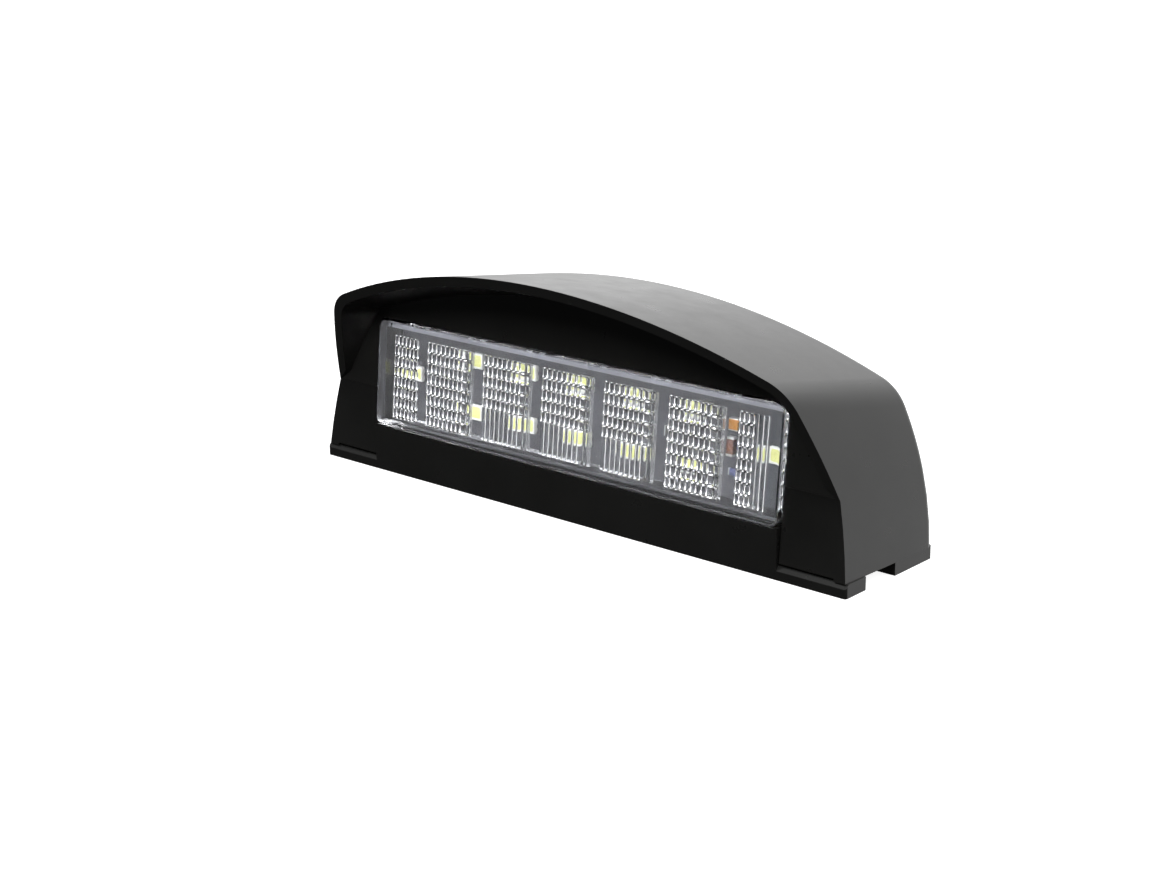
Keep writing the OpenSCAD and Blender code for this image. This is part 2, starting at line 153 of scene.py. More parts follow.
class LampLens(bpy.types.PropertyGroup):
    """Sizes of the clear lens, in the light unit's own frame."""

    width: length("Width", "Width of the lens", span("lens", 0) / MM)
    height: length("Height", "Height of the lens along its front", 21.6)
    depth: length("Depth", "From the lens's front to the circuit board", 7.6)
    seat: length("Seat", "Clearance between the lens's walls and the circuit board", 0.02)
    face: length("Face", "Thickness of the front", 2.0)
    wall: length("Wall", "Thickness of the side walls", 1.5)
    edge: length("Edge", "Radius of the front's outer edges", 0.5)
    corner: length("Corner", "Radius of the four corners, seen from the front", 1.8)
    front: length("Front", "Place of the lower front edge, along Y", -13.1357, -40, 0)
    low: length("Low", "Height of the lower front edge", 9.4)
    lean: angle("Lean", "Backward lean of the lens", 6)
    pitch: length("Field pitch", "Distance between the middles of two full fields", 15.3)
    narrow: length("Narrow flute", "Width of a narrow flute", 1.2)
    wide: length("Wide flute", "Width of a wide flute", 1.6)
    end: length("End flute", "Width of a flute in the end fields", 1.08)
    end_gap: length("End gap", "Clear gap before each end field", 2.9)
    rise: length("Rise", "Height of the narrow flutes over the inner face", 0.4)
    wide_rise: length("Wide rise", "Height of the wide flutes over the inner face", 0.2)
    row_rise: length("Row rise", "Height of the rows that cross the flutes", 0.35)
    step: length("Step", "Width of the steep side of a field", 0.03)
    row_radius: length("Row radius", "Radius of the shoulders of a row", 0.7)
    field_low: length("Field low", "Clear band under the fields", 2.1)
    field_high: length("Field high", "Clear band over the fields", 2.9)
    rows: IntProperty(
        name="Rows",
        description="Rows of pillows up a field",
        default=8,
        min=1,
        max=20,
    )
    nib: length("Nib", "Width of the nibs on the upper front edge", 1.5)
    nib_pitch: length("Nib pitch", "Distance between the two nibs of a pair", 3.2)


class LampUnit(bpy.types.PropertyGroup):
    """Light-emitting diodes and small parts on the board."""

    # Where the painted shade over the board's right end begins
    mask: length("Mask", "Distance from the middle to the lacquer's right end", 42.2)
    band: length("Band", "Height of the lighter border along the board's top", 1.9)
    led_w: length("Diode width", "Width of a light-emitting diode", 3.5)
    led_h: length("Diode height", "Height of a light-emitting diode", 2.9)
    led_t: length("Diode thickness", "Thickness of a light-emitting diode", 0.8)
    led_pitch: length("Column pitch", "Distance between two columns", 14.0)
    led_rows: length("Row pitch", "Distance between the two rows", 9.9)
    led_end: length("End place", "Distance of the outermost diodes from the middle", 44.5)


class LampColours(bpy.types.PropertyGroup):
    """Colours of the finishes."""

    plastic: colour("Plastic", "Black moulded plastic", (0.014, 0.014, 0.0132))
    plastic_light: colour(
        "Plastic, lighter", "Cloudy parts of the black plastic", (0.018, 0.018, 0.0172)
    )
    clear: colour("Lens", "Tint of the clear plastic", (0.97, 0.98, 1.0))
    # Painted shade: the board's lacquer is white, and these two colours paint it dark grey for the
    # shade in the lamp's cavity behind the lens, the second a cloudy darker tone
    board: colour("Board", "Lacquer, dark as it is lit through the bright lens", (0.045, 0.045, 0.051))
    board_dark: colour("Board, darker", "Darker parts of the lacquer", (0.03, 0.031, 0.037))
    # Painted shade: the board's right end is painted darker still, for the shade there
    mask: colour("Mask", "Dark mask of the board's right end", (0.02, 0.023, 0.028))
    border: colour("Border", "Lighter border along the board's top", (0.62, 0.62, 0.68))
    package: colour("Package", "White package of a light-emitting diode", (0.82, 0.82, 0.78))
    phosphor: colour("Phosphor", "Yellow filling of a light-emitting diode", (0.70, 0.71, 0.27))
    metal: colour("Metal", "Tinned contacts", (0.72, 0.72, 0.70))
    capacitor: colour("Capacitor", "Brown ceramic", (0.32, 0.13, 0.012))
    epoxy: colour("Epoxy", "Dark moulded epoxy", (0.02, 0.024, 0.028))
    diode: colour("Diode", "Brown glass of the diode", (0.1, 0.045, 0.03))
    resistor: colour("Resistor", "Blue glaze", (0.06, 0.07, 0.15))
    rubber: colour("Rubber", "Black rubber", (0.018, 0.018, 0.018))
    floor: colour("Floor", "Pale floor", (0.6, 0.6, 0.6))


class LampStage(bpy.types.PropertyGroup):
    """Camera and lights."""

    azimuth: angle("Azimuth", "Direction of the camera round the lamp", 42.01)
    elevation: angle("Elevation", "Height of the camera over the horizon", 16.92)
    roll: angle("Roll", "Roll of the camera", -0.9)
    distance: length("Distance", "Distance of the camera from its target", 317.8, 10, 5000)
    target: FloatVectorProperty(
        name="Target",
        description="Point in the middle of the picture",
        default=(0.04945, -0.06214, 0.03768),
        size=3,
        subtype="TRANSLATION",
        unit="LENGTH",
    )
    focal: FloatProperty(
        name="Focal length",
        description="Focal length in millimetres",
        default=65.17,
        min=10,
        max=300,
    )
    key: amount("Key light", "Power of the soft light over the front, in watts", 1.5)
    back: amount("Back light", "Power of the soft light behind the lamp, in watts", 3.0)
    bright: amount("Bright sky", "Brightness of the surroundings behind the lamp", 1.35)
    rear: amount("Rear glow", "Added brightness low behind the lamp's left end", 0.3)
    dim: amount("Dim sky", "Brightness of the surroundings before the lamp", 0.04)
    glass: amount("Sky in the lens", "Brightness of the surroundings seen in the lens", 0.9)
    panel: amount("Panel in the lens", "Brightness of the soft panel before the lamp", 19.0)
    floor_glow: amount("Floor glow", "Light that the floor gives to the lamp", 0.1)
    floor_seen: amount("Floor seen", "Brightness that the floor adds for the camera", 0.9)


def sizes():
    return bpy.context.scene.lamp_lens


# Selection and finishing


def clear_selection():
    if bpy.context.mode != "OBJECT":
        bpy.ops.object.mode_set(mode="OBJECT")
    bpy.ops.object.select_all(action="DESELECT")


def pick(*objects):
    """Only these objects are selected, and the first is active."""
    clear_selection()
    for obj in objects:
        obj.select_set(True)
    bpy.context.view_layer.objects.active = objects[0]


def enter_edit(obj, mode="FACE"):
    pick(obj)
    bpy.ops.object.mode_set(mode="EDIT")
    bpy.ops.mesh.select_mode(type=mode)
    bpy.ops.mesh.select_all(action="DESELECT")


def leave_edit():
    bpy.ops.object.mode_set(mode="OBJECT")


def select_faces(obj, test):
    """Selects the faces whose middle and normal pass the test, in edit mode."""
    bpy.ops.mesh.select_mode(type="FACE")
    bpy.ops.mesh.select_all(action="DESELECT")
    mesh = bmesh.from_edit_mesh(obj.data)
    found = 0
    for face in mesh.faces:
        if test(face.calc_center_median(), face.normal):
            face.select_set(True)
            found += 1
    bmesh.update_edit_mesh(obj.data)
    if not found:
        raise RuntimeError(f"{obj.name}: no face is where it should be")


def select_edges(obj, test):
    """Selects the edges whose two ends pass the test, in edit mode."""
    bpy.ops.mesh.select_mode(type="EDGE")
    bpy.ops.mesh.select_all(action="DESELECT")
    mesh = bmesh.from_edit_mesh(obj.data)
    found = 0
    for edge in mesh.edges:
        if test(edge.verts[0].co, edge.verts[1].co):
            edge.select_set(True)
            found += 1
    bmesh.update_edit_mesh(obj.data)
    if not found:
        raise RuntimeError(f"{obj.name}: no edge is where it should be")


def add_block(name, low, high):
    """Block between two corners, its place in its mesh."""
    clear_selection()
    low, high = Vector(low), Vector(high)
    bpy.ops.mesh.primitive_cube_add(size=1, location=(low + high) / 2, scale=high - low)
    obj = bpy.context.active_object
    obj.name = name
    obj.data.name = name
    bpy.ops.object.transform_apply(location=True, rotation=True, scale=True)
    return obj


def round_edges(obj, radius, segments=2):
    """Rounds every edge of a block."""
    enter_edit(obj)
    bpy.ops.mesh.select_all(action="SELECT")
    bpy.ops.mesh.bevel(offset=radius, segments=segments, affect="EDGES")
    leave_edit()


def round_upright(obj, radius, segments=4):
    """Rounds the four edges of a block that run along Y."""
    enter_edit(obj)
    select_edges(obj, lambda a, b: abs(a.x - b.x) < NEAR and abs(a.z - b.z) < NEAR)
    bpy.ops.mesh.bevel(offset=radius, segments=segments, affect="EDGES")
    leave_edit()


def combine(obj, tool, operation):
    """Boolean of two closed meshes. The tool goes."""
    pick(obj)
    step = obj.modifiers.new("Combine", "BOOLEAN")
    step.operation = operation
    step.object = tool
    step.solver = "EXACT"
    bpy.ops.object.modifier_apply(modifier=step.name)
    bpy.data.objects.remove(tool)


def join(*objects):
    pick(*objects)
    bpy.ops.object.join()
    return objects[0]


def paint_faces(obj, index, test):
    """Gives the faces whose middle and normal pass the test the material of that index."""
    for face in obj.data.polygons:
        if test(face.center, face.normal):
            face.material_index = index


def outward(obj):
    """Turns every face of a closed mesh outwards."""
    enter_edit(obj)
    bpy.ops.mesh.select_all(action="SELECT")
    bpy.ops.mesh.normals_make_consistent(inside=False)
    leave_edit()


def smooth(obj, degrees=35):
    pick(obj)
    bpy.ops.object.shade_smooth_by_angle(angle=math.radians(degrees))


def unit_place():
    """Place of the light unit: y = 0 is the lens's front, z = 0 its lower face."""
    s = sizes()
    return Matrix.Translation((0, s.front, s.low)) @ Matrix.Rotation(-s.lean, 4, "X")


def into_place(obj):
    """Moves a piece from the light unit's frame to the lamp's, in its mesh."""
    pick(obj)
    obj.matrix_world = unit_place()
    bpy.ops.object.transform_apply(location=True, rotation=True, scale=True)


def finish_piece(obj, slot, *nodes):
    """Hangs a piece on the root body and hides the nodes that it replaces. Its slot is not used."""
    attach(obj, "root")
    if nodes:
        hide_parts(*nodes)


# Finishes


def new_finish(name):
    material = bpy.data.materials.new(name)
    material.use_nodes = True
    tree = material.node_tree
    return material, tree, tree.nodes["Principled BSDF"]


def noise(tree, scale, detail=3.0, roughness=0.55):
    coordinates = tree.nodes.new("ShaderNodeTexCoord")
    texture = tree.nodes.new("ShaderNodeTexNoise")
    texture.inputs["Scale"].default_value = scale
    texture.inputs["Detail"].default_value = detail
    texture.inputs["Roughness"].default_value = roughness
    tree.links.new(coordinates.outputs["Object"], texture.inputs["Vector"])
    return texture.outputs["Fac"]


def ramp(tree, factor, low, high):
    """Maps the middle of a noise to a range of values."""
    node = tree.nodes.new("ShaderNodeMapRange")
    node.inputs["From Min"].default_value = 0.3
    node.inputs["From Max"].default_value = 0.7
    node.inputs["To Min"].default_value = low
    node.inputs["To Max"].default_value = high
    tree.links.new(factor, node.inputs["Value"])
    return node.outputs["Result"]


def blend_colours(tree, factor, first, second):
    node = tree.nodes.new("ShaderNodeMix")
    node.data_type = "RGBA"
    node.inputs["A"].default_value = (*first, 1)
    node.inputs["B"].default_value = (*second, 1)
    tree.links.new(ramp(tree, factor, 0, 1), node.inputs["Factor"])
    return node.outputs["Result"]


def bump(tree, shader, height, strength, distance):
    node = tree.nodes.new("ShaderNodeBump")
    node.inputs["Strength"].default_value = strength
    node.inputs["Distance"].default_value = distance
    tree.links.new(height, node.inputs["Height"])
    tree.links.new(node.outputs["Normal"], shader.inputs["Normal"])


def darker(tint, share):
    return tuple(share * value for value in tint)


def cloudy_finish(name, first, second, low, high, cloud, grain, strength, depth):
    """Finish with a cloudy colour, a roughness from low to high and a fine grain."""
    material, tree, shader = new_finish(name)
    tint = blend_colours(tree, noise(tree, cloud), first, second)
    tree.links.new(tint, shader.inputs["Base Color"])
    sheen = ramp(tree, noise(tree, cloud * 3, detail=5), low, high)
    tree.links.new(sheen, shader.inputs["Roughness"])
    bump(tree, shader, noise(tree, grain, detail=2), strength, depth)
    return material, tree, shader


def moulded_plastic(name):
    c = bpy.context.scene.lamp_colours
    material, tree, shader = cloudy_finish(
        name,
        c.plastic,
        c.plastic_light,
        low=0.27,
        high=0.32,
        cloud=70,
        grain=1800,
        strength=0.06,
        depth=0.02 * MM,
    )
    shader.inputs["Specular IOR Level"].default_value = 0.45
    return material


def clear_plastic(name, roughness):
    c = bpy.context.scene.lamp_colours
    material, tree, shader = new_finish(name)
    shader.inputs["Base Color"].default_value = (*c.clear, 1)
    shader.inputs["Transmission Weight"].default_value = 1
    shader.inputs["IOR"].default_value = 1.58
    shader.inputs["Roughness"].default_value = roughness
    bump(tree, shader, noise(tree, 260, detail=1), strength=0.03, distance=0.02 * MM)
    return material


def metal(name):
    c = bpy.context.scene.lamp_colours
    material, tree, shader = cloudy_finish(
        name,
        c.metal,
        darker(c.metal, 0.8),
        low=0.25,
        high=0.45,
        cloud=900,
        grain=4000,
        strength=0.2,
        depth=0.02 * MM,
    )
    shader.inputs["Metallic"].default_value = 1
    return material


def shiny_finish(name, tint, low, high):
    """Smooth finish of a small part, between two roughnesses."""
    return cloudy_finish(
        name,
        tint,
        darker(tint, 0.75),
        low,
        high,
        cloud=600,
        grain=3000,
        strength=0.15,
        depth=0.02 * MM,
    )[0]


# Pieces


def moulded_copy(node, name, edge, material):
    """The node's own form with rounded edges."""
    obj = bpy.data.objects.new(name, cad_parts[node].data.copy())
    obj.data.name = name
    bpy.context.scene.collection.objects.link(obj)
    obj.data.materials.clear()
    obj.data.materials.append(material)
    enter_edit(obj)
    bpy.ops.mesh.select_all(action="SELECT")
    bpy.ops.mesh.remove_doubles(threshold=WELD)
    bpy.ops.mesh.customdata_custom_splitnormals_clear()
    bpy.ops.mesh.select_all(action="SELECT")
    bpy.ops.mesh.dissolve_limited(angle_limit=FLAT_ANGLE)
    bpy.ops.mesh.select_all(action="SELECT")
    bpy.ops.mesh.tris_convert_to_quads(face_threshold=QUAD_ANGLE, shape_threshold=QUAD_SHAPE)
    leave_edit()
    rounding = obj.modifiers.new("Rounding", "BEVEL")
    rounding.limit_method = "ANGLE"
    rounding.angle_limit = math.radians(SHARP_TURN)
    rounding.width = edge
    rounding.segments = 3
    rounding.miter_outer = "MITER_ARC"
    rounding.use_clamp_overlap = True
    rounding.harden_normals = False
    pick(obj)
    bpy.ops.object.modifier_apply(modifier=rounding.name)
    smooth(obj, SHARP_TURN)
    weighting = obj.modifiers.new("Weighting", "WEIGHTED_NORMAL")
    weighting.keep_sharp = True
    bpy.ops.object.modifier_apply(modifier=weighting.name)
    return obj


class LAMP_OT_hood(bpy.types.Operator):
    """Makes the hood with rounded edges in black moulded plastic"""

    bl_idname = "lamp.hood"
    bl_label = "Hood"

    def execute(self, context):
        edge = context.scene.lamp_moulding.hood_edge
        hood = moulded_copy("hood", "hood_shell", edge, moulded_plastic("hood_plastic"))
        finish_piece(hood, "hood", "hood")
        return {"FINISHED"}


class LAMP_OT_base(bpy.types.Operator):
    """Makes the foot and tray with rounded edges in black moulded plastic"""

    bl_idname = "lamp.base"
    bl_label = "Base"

    def execute(self, context):
        edge = context.scene.lamp_moulding.base_edge
        base = moulded_copy("base", "foot_and_tray", edge, moulded_plastic("base_plastic"))
        finish_piece(base, "base", "base")
        return {"FINISHED"}


def fields():
    """Fields of the lens from left to right: its left end and its flutes.

    A flute is its width, its rise and the first row that crosses it, or None for none. In the
    three middle fields, the rows start over the plain lower part.
    """
    s = sizes()
    fine = s.wide / (2 * FINE_FLUTES)
    widths = [s.narrow] * NARROW_FLUTES + [s.wide, s.wide / 2] + [fine] * FINE_FLUTES
    rises = [s.rise] * NARROW_FLUTES + [s.wide_rise, s.wide_rise / 2]
    rises += [s.rise * fine / s.narrow] * FINE_FLUTES
    half = sum(widths) / 2
    outer = FIVE[-1] * s.pitch + half + s.end_gap
    found = [(-outer - END_FLUTES * s.end, [(s.end, s.rise, 0)] * END_FLUTES)]
    for i in FIVE:
        first_row = 0 if abs(i) == FIVE[-1] else PLAIN_ROWS
        rows = [first_row] * (len(widths) - FINE_FLUTES) + [None] * FINE_FLUTES
        found.append((i * s.pitch - half, list(zip(widths, rises, rows))))
    rows = [0] * (END_FLUTES - PLAIN_FLUTES) + [None] * PLAIN_FLUTES
    found.append((outer, [(s.end, s.rise, row) for row in rows]))
    return found


def ridge(width, rise, radius):
    """Points across a ridge with round shoulders: distance from its foot, and height."""
    turn = math.acos(1 - rise / radius)
    shoulder = radius * math.sin(turn)
    points = []
    for step in range(SHOULDER_STEPS + 1):
        left = turn * (1 - step / SHOULDER_STEPS)
        points.append((shoulder - radius * math.sin(left), rise - radius * (1 - math.cos(left))))
    flat = width - 2 * shoulder
    first = 0 if flat > NEAR else 1
    return points + [(width - x, height) for x, height in reversed(points)][first:]


def round_ridge(width, rise):
    """Points across a ridge that is one arc from foot to foot."""
    return ridge(width, rise, (width * width / 4 + rise * rise) / (2 * rise))


def lens_columns():
    """Columns of the lens's inner face: x, height, and first row that crosses it or None."""
    s = sizes()
    columns = [(s.wall - s.width / 2, 0, None)]
    for left, flutes in fields():
        x = left
        columns.append((x - s.step, 0, None))
        columns.append((x, 0, flutes[0][2]))
        for width, rise, first_row in flutes:
            for away, height in round_ridge(width, rise)[1:]:
                columns.append((x + away, height, first_row))
            x += width
        columns.append((x + s.step, 0, None))
    columns.append((s.width / 2 - s.wall, 0, None))
    return columns


def lens_lines():
    """Lines of the lens's inner face: z, row number or None outside the fields, and height."""
    s = sizes()
    low, high = s.field_low, s.height - s.field_high
    row_height = (high - low) / s.rows
    lines = [(s.wall, None, 0), (low - s.step, None, 0)]
    for row in range(s.rows):
        for away, height in ridge(row_height, s.row_rise, s.row_radius)[:-1]:
            lines.append((low + row * row_height + away, row, height))
    lines.append((high, s.rows - 1, 0))
    lines.append((high + s.step, None, 0))
    lines.append((s.height - s.wall, None, 0))
    return lines


def inner_face(material, pillow_material):
    """The lens's inner face with its pillows, and its walls back to the board."""
    s = sizes()
    columns, lines = lens_columns(), lens_lines()
    last_column, last_line = len(columns) - 1, len(lines) - 1
    clear_selection()
    # Each point of the grid, from -1 to 1 in x and y, stands for a column and a line
    bpy.ops.mesh.primitive_grid_add(x_subdivisions=last_column, y_subdivisions=last_line, size=2)
    obj = bpy.context.active_object
    obj.name = "lens_inside"
    for vertex in obj.data.vertices:
        x, height, first_row = columns[round((vertex.co.x + 1) / 2 * last_column)]
        z, row, crossing = lines[round((vertex.co.y + 1) / 2 * last_line)]
        if row is None:
            height = 0
        elif first_row is not None and row >= first_row:
            height += crossing
        vertex.co = (x, s.face + height, z)
    enter_edit(obj, "EDGE")
    bpy.ops.mesh.select_all(action="SELECT")
    bpy.ops.mesh.region_to_loop()
    walls = (0, s.depth - s.seat - s.face, 0)
    bpy.ops.mesh.extrude_region_move(TRANSFORM_OT_translate={"value": walls})
    # The hollow's faces look into it, so that the bridge to the outside isn't twisted
    bpy.ops.mesh.select_all(action="SELECT")
    bpy.ops.mesh.normals_make_consistent(inside=True)
    leave_edit()
    obj.data.materials.append(material)
    obj.data.materials.append(pillow_material)
    highest = s.face + s.rise + s.row_rise + NEAR
    paint_faces(obj, 1, lambda middle, normal: s.face + NEAR < middle.y < highest)
    return obj


def nib_places():
    """Middles of the nibs along X."""
    s = sizes()
    gaps = [(gap - (GAPS - 1) / 2) * s.pitch for gap in range(GAPS)]
    return [middle + side * s.nib_pitch / 2 for middle in gaps for side in (-1, 1)]


def is_nib(place):
    """Whether a place near the upper front edge is on a nib."""
    s = sizes()
    if place.z <= s.height - s.edge + NIB_FOOT:
        return False
    return any(abs(place.x - x) < s.nib / 2 - NIB_SIDE for x in nib_places())


def outer_face(material, nib_material):
    """The lens's outside: round at the front and the corners, nibs on its upper front edge."""
    s = sizes()
    half = s.width / 2
    back = s.depth - s.seat
    obj = add_block("lens_cover", (-half, 0, 0), (half, back, s.height))
    round_upright(obj, s.corner, 6)
    enter_edit(obj)
    select_edges(obj, lambda a, b: abs(a.y) < NEAR and abs(b.y) < NEAR)
    bpy.ops.mesh.bevel(offset=s.edge, segments=4, affect="EDGES")
    leave_edit()
    for x in nib_places():
        nib = add_block(
            "nib",
            (x - s.nib / 2, NIB_FRONT, s.height - s.edge),
            (x + s.nib / 2, NIB_BACK, s.height + NIB_OVER),
        )
        round_edges(nib, NIB_EDGE)
        combine(obj, nib, "UNION")
    obj.data.materials.clear()
    obj.data.materials.append(material)
    obj.data.materials.append(nib_material)
    top = s.height + NEAR
    paint_faces(
        obj, 1, lambda middle, normal: middle.z > top or (middle.y < NIB_BACK and is_nib(middle))
    )
    enter_edit(obj)
    select_faces(obj, lambda middle, normal: normal.y > 0.99 and middle.y > back - NEAR)
    bpy.ops.mesh.delete(type="ONLY_FACE")
    leave_edit()
    return obj


class LAMP_OT_lens(bpy.types.Operator):
    """Makes the clear lens with rows of pillows on its inner face"""

    bl_idname = "lamp.lens"
    bl_label = "Lens"

    def execute(self, context):
        polished = clear_plastic("clear_plastic", roughness=0.02)
        fluted = clear_plastic("clear_plastic_fluted", roughness=0.1)
        frosted = clear_plastic("clear_plastic_frosted", roughness=0.6)
        lens = join(outer_face(polished, frosted), inner_face(polished, fluted))
        enter_edit(lens, "EDGE")
        mesh = bmesh.from_edit_mesh(lens.data)
        for edge in mesh.edges:
            if edge.is_boundary:
                edge.select_set(True)
        bmesh.update_edit_mesh(lens.data)
        bpy.ops.mesh.bridge_edge_loops()
        leave_edit()
        outward(lens)
        smooth(lens, 30)
        into_place(lens)
        finish_piece(lens, "lens", "lens")
        return {"FINISHED"}


def colour_past(tree, along, start, under, tint):
    """Lays a colour over another past a place along an axis."""
    edge = tree.nodes.new("ShaderNodeMapRange")
    edge.inputs["From Min"].default_value = start - SOFT_BORDER
    edge.inputs["From Max"].default_value = start + SOFT_BORDER
    tree.links.new(along, edge.inputs["Value"])
    mix = tree.nodes.new("ShaderNodeMix")
    mix.data_type = "RGBA"
    tree.links.new(edge.outputs["Result"], mix.inputs["Factor"])
    tree.links.new(under, mix.inputs["A"])
    mix.inputs["B"].default_value = (*tint, 1)
    return mix.outputs["Result"]


def lacquer_borders(tree, shader):
    """The board's right end is painted darker as shade, and a strip along its top is lighter."""
    u = bpy.context.scene.lamp_unit
    c = bpy.context.scene.lamp_colours
    lacquer = shader.inputs["Base Color"].links[0].from_socket
    coordinates = tree.nodes.new("ShaderNodeTexCoord")
    split = tree.nodes.new("ShaderNodeSeparateXYZ")
    tree.links.new(coordinates.outputs["Object"], split.inputs["Vector"])
    # Painted shade: past this place along X the board is painted darker
    end_shaded = colour_past(tree, split.outputs["X"], u.mask, lacquer, c.mask)
    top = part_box("circuit_board")[1][2]
    bordered = colour_past(tree, split.outputs["Z"], top - u.band, end_shaded, c.border)
    tree.links.new(bordered, shader.inputs["Base Color"])


class LAMP_OT_board(bpy.types.Operator):
    """Gives the circuit board its lacquer, painted dark grey as shade"""

    bl_idname = "lamp.board"
    bl_label = "Circuit board"

    def execute(self, context):
        c = context.scene.lamp_colours
        # The lacquer's colours are painted shade, dark grey for the shade in the lamp's cavity
        lacquer, tree, shader = cloudy_finish(
            "board_lacquer_painted_shade",
            c.board,
            c.board_dark,
            low=0.3,
            high=0.5,
            cloud=120,
            grain=900,
            strength=0.2,
            depth=0.03 * MM,
        )
        lacquer_borders(tree, shader)
        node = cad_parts["circuit_board"]
        node.data.materials.clear()
        node.data.materials.append(lacquer)
        return {"FINISHED"}


def emitter():
    """One light-emitting diode with its middle at the origin and its back at y = 0."""
    u = bpy.context.scene.lamp_unit
    c = bpy.context.scene.lamp_colours
    w, h, t = u.led_w, u.led_h, u.led_t
    # The contacts stand out at the ends, and the cup is sunk in the package's front
    contact_out, contact_t = 0.15 * MM, 0.3 * MM
    contact_half_w, contact_half_h = 0.2 * MM, 0.4 * MM
    cup_half_w, cup_half_h = w / 2 - 0.45 * MM, h / 2 - 0.35 * MM
    cup_depth, cup_corner = 0.2 * MM, 0.4 * MM
    filling_front, filling_back = 0.1 * MM, 0.25 * MM

    body = add_block("emitter", (-w / 2 + contact_out, -t, -h / 2), (w / 2 - contact_out, 0, h / 2))
    round_edges(body, CHIP_EDGE)
    cup = add_block(
        "cup", (-cup_half_w, -2 * t, -cup_half_h), (cup_half_w, cup_depth - t, cup_half_h)
    )
    round_upright(cup, cup_corner)
    combine(body, cup, "DIFFERENCE")
    filling = add_block(
        "filling",
        (-cup_half_w, filling_front - t, -cup_half_h),
        (cup_half_w, filling_back - t, cup_half_h),
    )
    round_upright(filling, cup_corner)
    enter_edit(filling)
    select_faces(filling, lambda middle, normal: normal.y < -0.9)
    # The filling's front is a low dome in two steps
    for inset, rise in ((0.15, 0.04), (0.15, 0.02)):
        bpy.ops.mesh.inset(thickness=inset * MM, depth=0)
        bpy.ops.transform.translate(value=(0, -rise * MM, 0))
    leave_edit()
    contacts = []
    for side in (-1, 1):
        for row in (-1, 1):
            x = side * (w / 2 - contact_half_w)
            z = row * h / 4
            contact = add_block(
                "contact",
                (x - contact_half_w, -contact_t, z - contact_half_h),
                (x + contact_half_w, 0, z + contact_half_h),
            )
            round_edges(contact, CHIP_EDGE / 2)
            contacts.append(contact)
    package = shiny_finish("white_package", c.package, low=0.3, high=0.45)
    phosphor = shiny_finish("yellow_phosphor", c.phosphor, low=0.15, high=0.3)
    tinned = metal("tinned_contact")
    finishes = [(body, package), (filling, phosphor)] + [(piece, tinned) for piece in contacts]
    for piece, material in finishes:
        piece.data.materials.clear()
        piece.data.materials.append(material)
    whole = join(body, filling, *contacts)
    smooth(whole, 40)
    return whole


def led_places():
    """Places of the light-emitting diodes on the board, from the left: x and z from its middle."""
    u = bpy.context.scene.lamp_unit
    places = [(-u.led_end, 0)]
    for i in FIVE:
        places += [(i * u.led_pitch, u.led_rows / 2), (i * u.led_pitch, -u.led_rows / 2)]
    return places + [(u.led_end, 0)]


def on_board(obj, x, z):
    """Moves a part from the origin to its place on the board, in its mesh."""
    s = sizes()
    pick(obj)
    obj.matrix_world = unit_place() @ Matrix.Translation((x, s.depth, s.height / 2 + z))
    bpy.ops.object.transform_apply(location=True, rotation=True, scale=True)


class LAMP_OT_diodes(bpy.types.Operator):
    """Makes the twelve light-emitting diodes"""

    bl_idname = "lamp.diodes"
    bl_label = "Light-emitting diodes"

    def execute(self, context):
        first = emitter()
        for number, (x, z) in enumerate(led_places(), 1):
            piece = bpy.data.objects.new(f"emitter_{number:02d}", first.data.copy())
            context.scene.collection.objects.link(piece)
            on_board(piece, x, z)
            finish_piece(piece, "led", f"led_{number:02d}")
        bpy.data.objects.remove(first)
        return {"FINISHED"}


def chip(name, size, body_material, end_material, end_share, upright):
    """Chip part with metal ends: along Z if upright, else along X. Its back is at y = 0.

    The size is width, height and thickness in millimetres, and the share is of its length.
    """
    w, h, t = (value * MM for value in size)
    body = add_block(name, (-w / 2, -t, -h / 2), (w / 2, 0, h / 2))
    round_edges(body, CHIP_EDGE)
    limit = (0.5 - end_share) * (h if upright else w)
    axis = 2 if upright else 0
    enter_edit(body)
    for side in (-1, 1):
        place, normal = [0, 0, 0], [0, 0, 0]
        place[axis], normal[axis] = side * limit, 1
        bpy.ops.mesh.select_all(action="SELECT")
        bpy.ops.mesh.bisect(plane_co=place, plane_no=normal)
    leave_edit()
    body.data.materials.append(body_material)
    body.data.materials.append(end_material)
    paint_faces(body, 1, lambda middle, normal: abs(middle[axis]) > limit)
    smooth(body, 40)
    return body


class LAMP_OT_parts(bpy.types.Operator):
    """Makes the small parts between the last columns of light-emitting diodes"""

    bl_idname = "lamp.parts"
    bl_label = "Small parts"

    def execute(self, context):
        c = context.scene.lamp_colours
        u = context.scene.lamp_unit
        tinned = metal("tinned_end")
        x = 2.5 * u.led_pitch
        ceramic = shiny_finish("brown_ceramic", c.capacitor, low=0.25, high=0.4)
        epoxy = shiny_finish("dark_epoxy", c.epoxy, low=0.3, high=0.45)
        brown = shiny_finish("brown_glass", c.diode, low=0.2, high=0.35)
        glaze = shiny_finish("blue_glaze", c.resistor, low=0.15, high=0.3)
        # Node, size, finish, share of each metal end, whether it stands upright, and its place
        parts = [
            ("capacitor", (2, 2.2, 1.2), ceramic, 0.1, True, x, 3.8 * MM),
            ("diode", (1.5, 3.4, 1), brown, 0.12, True, x - 0.6 * MM, -0.2 * MM),
            ("resistor_1", (1, 2, 0.5), glaze, 0.18, True, x + 1 * MM, 0.1 * MM),
            ("resistor_2", (2, 1.2, 0.5), glaze, 0.18, False, x, -4.6 * MM),
            ("regulator", (3, 1.8, 1.1), epoxy, 0.12, False, 1.5 * u.led_pitch, 0),
        ]
        for node, size, material, ends, upright, at_x, at_z in parts:
            part = chip(f"{node}_chip", size, material, tinned, ends, upright)
            on_board(part, at_x, at_z)
            finish_piece(part, node.split("_")[0], node)
        return {"FINISHED"}


